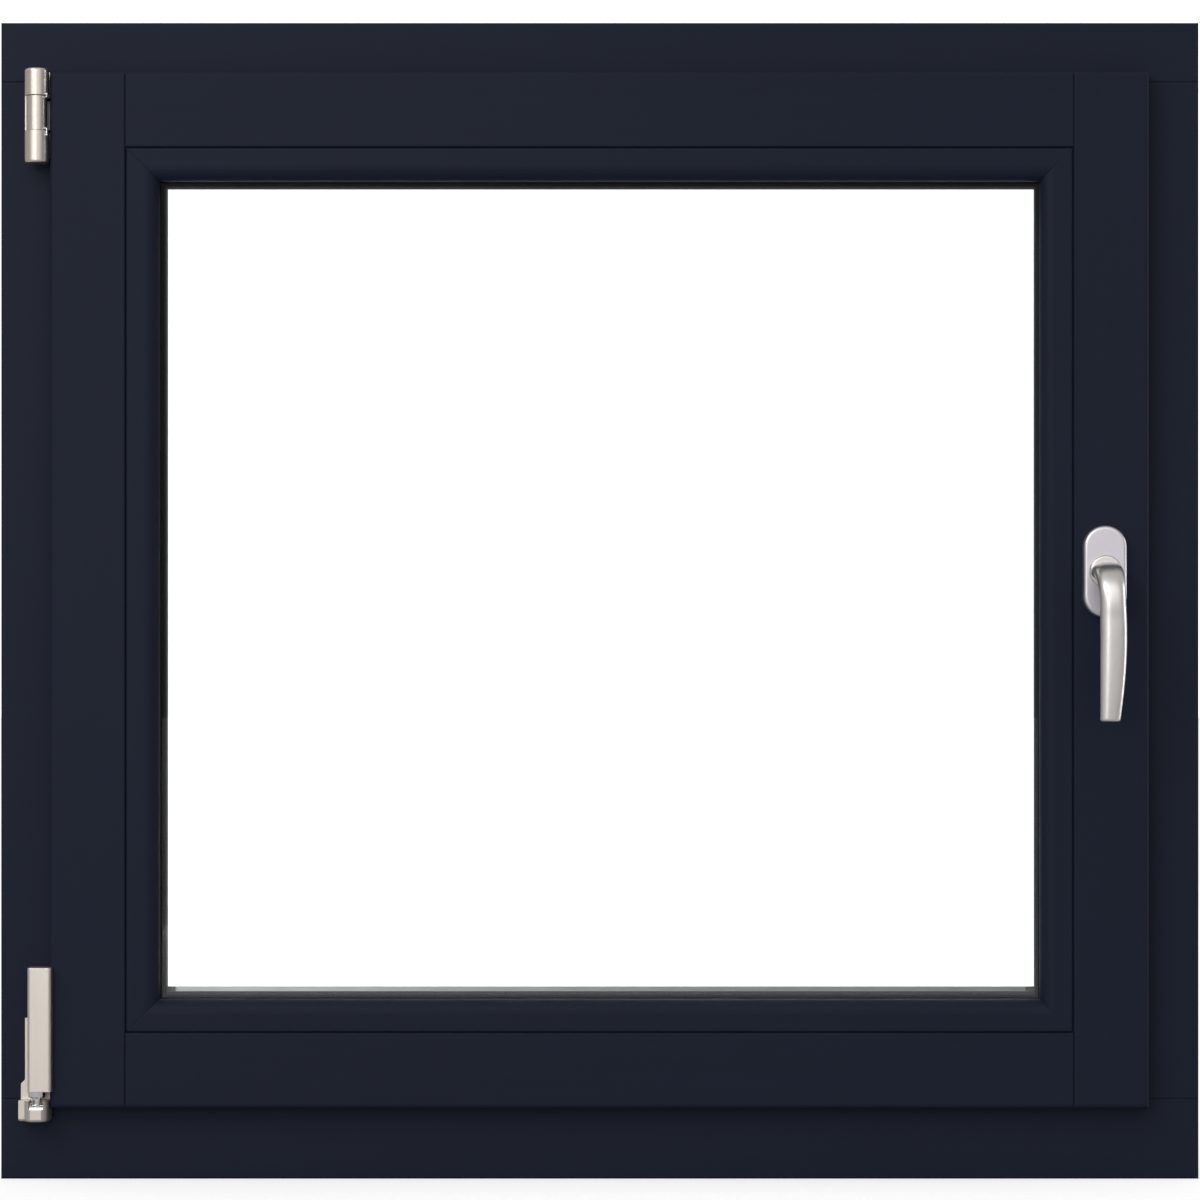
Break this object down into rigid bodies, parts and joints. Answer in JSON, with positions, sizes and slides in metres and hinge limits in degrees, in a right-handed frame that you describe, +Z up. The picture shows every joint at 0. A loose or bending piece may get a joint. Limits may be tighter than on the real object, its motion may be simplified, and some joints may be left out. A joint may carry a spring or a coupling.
{
  "type": "tilt-and-turn casement window",
  "caption": "Inward-opening tilt-and-turn casement window: timber frame and sash, triple glazing, perimeter locking hardware, corner and stay hinges, and a lever handle.",
  "frame": {"origin": "middle of the sill's underside, halfway through the frame's depth", "axes": "+X to the right seen from the room, +Y from the room to the outside, +Z up"},
  "size_m": [0.865, 0.1424, 0.835],
  "materials": {
    "timber": "satin sprayed paint",
    "glazing_rubber": "matt",
    "seal": "matt",
    "glass": "clear float",
    "silver_aluminium": "anodised",
    "black_plastic": "moulded",
    "satin_nickel": "brushed",
    "bright_steel": "polished",
    "zinc_steel": "zinc plated",
    "handle_silver": "satin anodised",
    "block_plastic": "moulded",
    "sealant": "cured",
    "warm_edge_spacer": "satin"
  },
  "bodies": {
    "frame": {"frame_head": "timber", "frame_sill": "timber", "frame_jamb_left": "timber", "frame_jamb_right": "timber", "sill_rain_rail": "silver_aluminium", "rain_rail_end_caps": "black_plastic", "stay_bearing": "satin_nickel", "stay_bearing_caps": "satin_nickel", "corner_bearing": "satin_nickel", "tilt_axle": "bright_steel", "frame_screws": "zinc_steel", "lock_strikers": "zinc_steel", "tilt_striker": "zinc_steel"},
    "corner_hinge": {"corner_pin": "bright_steel"},
    "stay_spindle": {"stay_pin": "bright_steel"},
    "stay": {"stay_arm": "zinc_steel", "stay_knuckle_cover": "satin_nickel", "stay_guide_stud": "bright_steel", "stay_retaining_clips": "bright_steel"},
    "handle": {"handle_lever": "handle_silver", "handle_spindle": "bright_steel", "drive_gear": "zinc_steel"},
    "right_rod": {"drive_rod_right": "zinc_steel", "locking_cams_right": "bright_steel"},
    "top_rod": {"drive_rod_top": "zinc_steel", "locking_cam_top": "bright_steel"},
    "bottom_rod": {"drive_rod_bottom": "zinc_steel", "locking_cam_bottom": "bright_steel"},
    "sash": {"sash_stile_left": "timber", "sash_stile_right": "timber", "sash_rail_top": "timber", "sash_rail_bottom": "timber", "glazing_bead_left": "timber", "glazing_bead_right": "timber", "glazing_bead_top": "timber", "glazing_bead_bottom": "timber", "glass_inner": "glass", "glass_middle": "glass", "glass_outer": "glass", "glass_spacers": "warm_edge_spacer", "glass_edge_sealant": "sealant", "setting_blocks": "block_plastic", "inner_glass_gasket": "glazing_rubber", "outer_glass_gasket": "glazing_rubber", "lip_seal": "seal", "middle_seal": "seal", "sash_drip_rail": "silver_aluminium", "drip_rail_end_caps": "black_plastic", "corner_strap": "zinc_steel", "corner_strap_cover": "satin_nickel", "stay_guide_rail": "zinc_steel", "gearbox_housing": "zinc_steel", "faceplate_right": "zinc_steel", "faceplate_top": "zinc_steel", "faceplate_bottom": "zinc_steel", "corner_drives": "zinc_steel", "hardware_screws": "zinc_steel", "rosette_base": "black_plastic", "handle_rosette": "handle_silver", "rosette_screws": "zinc_steel"}
  },
  "joints": [
    {"name": "sash_tilt", "type": "hinge", "parent": "frame", "child": "corner_hinge", "pos_m": [-0.4043, -0.05, 0.051], "axis": [1, 0, 0], "range_deg": [0, 11.5]},
    {"name": "sash_turn", "type": "hinge", "parent": "corner_hinge", "child": "sash", "pos_m": [-0.4043, -0.05, 0.051], "axis": [0, 0, -1], "range_deg": [0, 100]},
    {"name": "handle_turn", "type": "hinge", "parent": "sash", "child": "handle", "pos_m": [0.3625, -0.06, 0.438], "axis": [0, 1, 0], "range_deg": [0, 180]},
    {"name": "right_rod_slide", "type": "slide", "parent": "sash", "child": "right_rod", "axis": [0, 0, 1], "range_m": [-0.0297, 0]},
    {"name": "top_rod_slide", "type": "slide", "parent": "sash", "child": "top_rod", "axis": [1, 0, 0], "range_m": [0, 0.0297]},
    {"name": "bottom_rod_slide", "type": "slide", "parent": "sash", "child": "bottom_rod", "axis": [1, 0, 0], "range_m": [-0.0297, 0]},
    {"name": "stay_turn", "type": "hinge", "parent": "frame", "child": "stay_spindle", "pos_m": [-0.4043, -0.05, 0.765], "axis": [0, 0, -1], "range_deg": [0, 100]},
    {"name": "stay_swing", "type": "hinge", "parent": "stay_spindle", "child": "stay", "pos_m": [-0.4043, -0.05, 0.765], "axis": [0, 0, -1], "range_deg": [0, 20.05]}
  ],
  "couplings": [
    {"joint": "right_rod_slide", "follows": "handle_turn", "m_per_rad": -0.009375},
    {"joint": "top_rod_slide", "follows": "handle_turn", "m_per_rad": 0.009375},
    {"joint": "bottom_rod_slide", "follows": "handle_turn", "m_per_rad": -0.009375},
    {"joint": "stay_turn", "follows": "sash_turn", "ratio": 1},
    {"joint": "stay_swing", "follows": "sash_tilt", "ratio": 1.7348}
  ]
}
